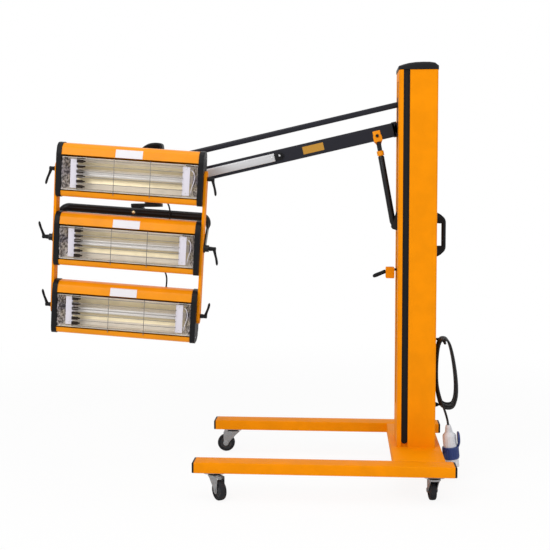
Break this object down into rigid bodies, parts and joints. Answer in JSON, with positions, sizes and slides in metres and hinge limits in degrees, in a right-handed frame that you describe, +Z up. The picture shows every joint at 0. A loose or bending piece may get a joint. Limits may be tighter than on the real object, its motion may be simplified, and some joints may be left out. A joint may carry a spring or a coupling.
{
  "type": "infrared paint curing lamp",
  "caption": "Wheeled infrared paint curing lamp with stacked tilting lamp cassettes on a parallelogram arm that slides on a column.",
  "frame": {"origin": "on the floor, under the middle of the bounding box of everything but the loose cord, its hank and plug", "axes": "+X from the lamp head to the column, -Y the side that the lamp faces, +Z up"},
  "size_m": [1.6512, 0.7694, 1.6436],
  "materials": {
    "orange_steel": "glossy powder coat",
    "orange_sheet": "glossy powder coat on sheet",
    "black_steel": "satin powder coat",
    "arm_steel": "gloss powder coat",
    "black_plastic": "fine grain",
    "caster_tyre": "matt",
    "zinc": "zinc plated",
    "iron": "raw",
    "bare_aluminium": "brushed",
    "reflector_gold": "bright gold coat",
    "quartz_white": "white ceramic and quartz",
    "wire": "bright wire",
    "cable_black": "satin sheath",
    "plug_blue": "gloss",
    "brass_bolt": "machined"
  },
  "bodies": {
    "base": {"near_leg": "orange_steel", "far_leg": "orange_steel", "base_platform": "orange_steel", "column_shell": "orange_steel", "near_channel_strip": "black_plastic", "far_channel_strip": "black_plastic", "column_cap": "black_plastic", "push_handle": "black_plastic", "cord_hook": "black_steel", "cord_gland": "black_plastic", "power_cord": "cable_black", "cord_hank": "cable_black", "plug_lead": "cable_black", "plug": "plug_blue"},
    "fork_near_left": {"caster_fork_near_left": "zinc"},
    "wheel_near_left": {"caster_wheel_near_left": "caster_tyre"},
    "fork_near_right": {"caster_fork_near_right": "zinc"},
    "wheel_near_right": {"caster_wheel_near_right": "caster_tyre"},
    "fork_far_left": {"caster_fork_far_left": "zinc"},
    "wheel_far_left": {"caster_wheel_far_left": "caster_tyre"},
    "fork_far_right": {"caster_fork_far_right": "zinc"},
    "wheel_far_right": {"caster_wheel_far_right": "caster_tyre"},
    "carriage": {"carriage": "black_steel", "lock_block": "orange_steel"},
    "counterweight": {"counterweight": "iron"},
    "rope_pulley": {"rope_pulley": "zinc"},
    "lock_lever": {"lock_lever": "black_plastic"},
    "lower_arm": {"lower_arm": "arm_steel", "strut_bracket": "orange_steel", "cable_cover": "bare_aluminium"},
    "tie_rod": {"tie_rod": "arm_steel"},
    "strut_cylinder": {"strut_cylinder": "black_steel"},
    "strut_rod": {"strut_rod": "orange_steel"},
    "knuckle": {"knuckle": "arm_steel", "knuckle_cover": "black_plastic"},
    "head_bracket": {"head_bracket": "black_steel"},
    "yoke": {"yoke": "black_steel", "roll_bolt": "brass_bolt"},
    "head_frame": {"left_side_bar": "orange_steel", "right_side_bar": "orange_steel", "upper_link_lead": "cable_black", "lower_link_lead": "cable_black"},
    "top_cassette": {"top_housing": "orange_sheet", "top_reflector": "reflector_gold", "top_lamp": "quartz_white", "top_grille": "wire"},
    "middle_cassette": {"middle_housing": "orange_sheet", "middle_reflector": "reflector_gold", "middle_lamp": "quartz_white", "middle_grille": "wire"},
    "bottom_cassette": {"bottom_housing": "orange_sheet", "bottom_reflector": "reflector_gold", "bottom_lamp": "quartz_white", "bottom_grille": "wire"},
    "lever_top_left": {"lever_top_left": "black_plastic"},
    "lever_middle_left": {"lever_middle_left": "black_plastic"},
    "lever_bottom_left": {"lever_bottom_left": "black_plastic"},
    "lever_top_right": {"lever_top_right": "black_plastic"},
    "lever_middle_right": {"lever_middle_right": "black_plastic"},
    "lever_bottom_right": {"lever_bottom_right": "black_plastic"}
  },
  "joints": [
    {"name": "swivel_near_left", "type": "hinge", "parent": "base", "child": "fork_near_left", "pos_m": [-0.09234, -0.325, 0.09], "axis": [0, 0, 1], "continuous": true},
    {"name": "roll_near_left", "type": "hinge", "parent": "fork_near_left", "child": "wheel_near_left", "pos_m": [-0.07264, -0.35022, 0.0375], "axis": [0.788, 0.6157, 0], "continuous": true},
    {"name": "swivel_near_right", "type": "hinge", "parent": "base", "child": "fork_near_right", "pos_m": [0.72166, -0.325, 0.09], "axis": [0, 0, 1], "continuous": true},
    {"name": "roll_near_right", "type": "hinge", "parent": "fork_near_right", "child": "wheel_near_right", "pos_m": [0.71832, -0.29318, 0.0375], "axis": [-0.9945, -0.1045, 0], "continuous": true},
    {"name": "swivel_far_left", "type": "hinge", "parent": "base", "child": "fork_far_left", "pos_m": [-0.09234, 0.325, 0.09], "axis": [0, 0, 1], "continuous": true},
    {"name": "roll_far_left", "type": "hinge", "parent": "fork_far_left", "child": "wheel_far_left", "pos_m": [-0.12434, 0.325, 0.0375], "axis": [0, -1, 0], "continuous": true},
    {"name": "swivel_far_right", "type": "hinge", "parent": "base", "child": "fork_far_right", "pos_m": [0.72166, 0.325, 0.09], "axis": [0, 0, 1], "continuous": true},
    {"name": "roll_far_right", "type": "hinge", "parent": "fork_far_right", "child": "wheel_far_right", "pos_m": [0.70196, 0.35022, 0.0375], "axis": [-0.788, -0.6157, 0], "continuous": true},
    {"name": "carriage_slide", "type": "slide", "parent": "base", "child": "carriage", "axis": [0, 0, -1], "range_m": [-0.03, 0.35]},
    {"name": "counterweight_slide", "type": "slide", "parent": "base", "child": "counterweight", "axis": [0, 0, 1], "range_m": [-0.03, 0.35]},
    {"name": "pulley_spin", "type": "hinge", "parent": "base", "child": "rope_pulley", "pos_m": [0.68766, 0, 1.56], "axis": [0, 1, 0], "range_deg": [-672, 60]},
    {"name": "lock_lever_turn", "type": "hinge", "parent": "carriage", "child": "lock_lever", "pos_m": [0.57066, 0, 0.8343], "axis": [0, 1, 0], "range_deg": [0, 60]},
    {"name": "arm_pivot", "type": "hinge", "parent": "carriage", "child": "lower_arm", "pos_m": [0.60966, 0, 1.394], "axis": [0, 1, 0], "range_deg": [-11, 37]},
    {"name": "tie_rod_pivot", "type": "hinge", "parent": "carriage", "child": "tie_rod", "pos_m": [0.60966, 0, 1.489], "axis": [0, 1, 0], "range_deg": [-11, 37]},
    {"name": "knuckle_level", "type": "hinge", "parent": "lower_arm", "child": "knuckle", "pos_m": [-0.2965, 0, 1.1848], "axis": [0, 1, 0], "range_deg": [-37, 11]},
    {"name": "strut_swing", "type": "hinge", "parent": "carriage", "child": "strut_cylinder", "pos_m": [0.58366, 0, 1.006], "axis": [0, 1, 0], "range_deg": [-3, 1]},
    {"name": "strut_stroke", "type": "slide", "parent": "strut_cylinder", "child": "strut_rod", "axis": [-0.1816, 0, 0.9834], "range_m": [-0.0195, 0.0655]},
    {"name": "head_swivel", "type": "hinge", "parent": "knuckle", "child": "head_bracket", "pos_m": [-0.3805, 0, 1.2], "axis": [0, 0, 1], "range_deg": [-120, 10]},
    {"name": "head_roll", "type": "hinge", "parent": "head_bracket", "child": "yoke", "pos_m": [-0.4435, -0.058, 1.062], "axis": [0, 1, 0], "range_deg": [-94, 86]},
    {"name": "head_tilt", "type": "hinge", "parent": "yoke", "child": "head_frame", "pos_m": [-0.45166, -0.14, 0.94529], "axis": [0.9976, 0, -0.0698], "range_deg": [-12, 85]},
    {"name": "top_cassette_tilt", "type": "hinge", "parent": "head_frame", "child": "top_cassette", "pos_m": [-0.4329, -0.16353, 1.2136], "axis": [0.9976, 0, -0.0698], "range_deg": [-30, 30], "deforming": ["upper_link_lead"]},
    {"name": "middle_cassette_tilt", "type": "hinge", "parent": "head_frame", "child": "middle_cassette", "pos_m": [-0.45166, -0.14, 0.94529], "axis": [0.9976, 0, -0.0698], "range_deg": [-30, 30]},
    {"name": "bottom_cassette_tilt", "type": "hinge", "parent": "head_frame", "child": "bottom_cassette", "pos_m": [-0.47043, -0.11647, 0.67697], "axis": [0.9976, 0, -0.0698], "range_deg": [-30, 30], "deforming": ["lower_link_lead"]},
    {"name": "lever_top_left_turn", "type": "hinge", "parent": "head_frame", "child": "lever_top_left", "pos_m": [-0.4329, -0.16353, 1.2136], "axis": [0.9976, 0, -0.0698], "range_deg": [-50, 50]},
    {"name": "lever_middle_left_turn", "type": "hinge", "parent": "yoke", "child": "lever_middle_left", "pos_m": [-0.45166, -0.14, 0.94529], "axis": [0.9976, 0, -0.0698], "range_deg": [-50, 50]},
    {"name": "lever_bottom_left_turn", "type": "hinge", "parent": "head_frame", "child": "lever_bottom_left", "pos_m": [-0.47043, -0.11647, 0.67697], "axis": [0.9976, 0, -0.0698], "range_deg": [-50, 50]},
    {"name": "lever_top_right_turn", "type": "hinge", "parent": "head_frame", "child": "lever_top_right", "pos_m": [-0.4329, -0.16353, 1.2136], "axis": [0.9976, 0, -0.0698], "range_deg": [-50, 50]},
    {"name": "lever_middle_right_turn", "type": "hinge", "parent": "yoke", "child": "lever_middle_right", "pos_m": [-0.45166, -0.14, 0.94529], "axis": [0.9976, 0, -0.0698], "range_deg": [-50, 50]},
    {"name": "lever_bottom_right_turn", "type": "hinge", "parent": "head_frame", "child": "lever_bottom_right", "pos_m": [-0.47043, -0.11647, 0.67697], "axis": [0.9976, 0, -0.0698], "range_deg": [-50, 50]}
  ],
  "couplings": [
    {"joint": "counterweight_slide", "follows": "carriage_slide", "ratio": 1},
    {"joint": "pulley_spin", "follows": "carriage_slide", "rad_per_m": -33.333},
    {"joint": "tie_rod_pivot", "follows": "arm_pivot", "ratio": 1},
    {"joint": "knuckle_level", "follows": "arm_pivot", "ratio": -1},
    {"joint": "strut_swing", "follows": "arm_pivot", "ratio": -0.06},
    {"joint": "strut_stroke", "follows": "arm_pivot", "m_per_rad": 0.1005}
  ]
}
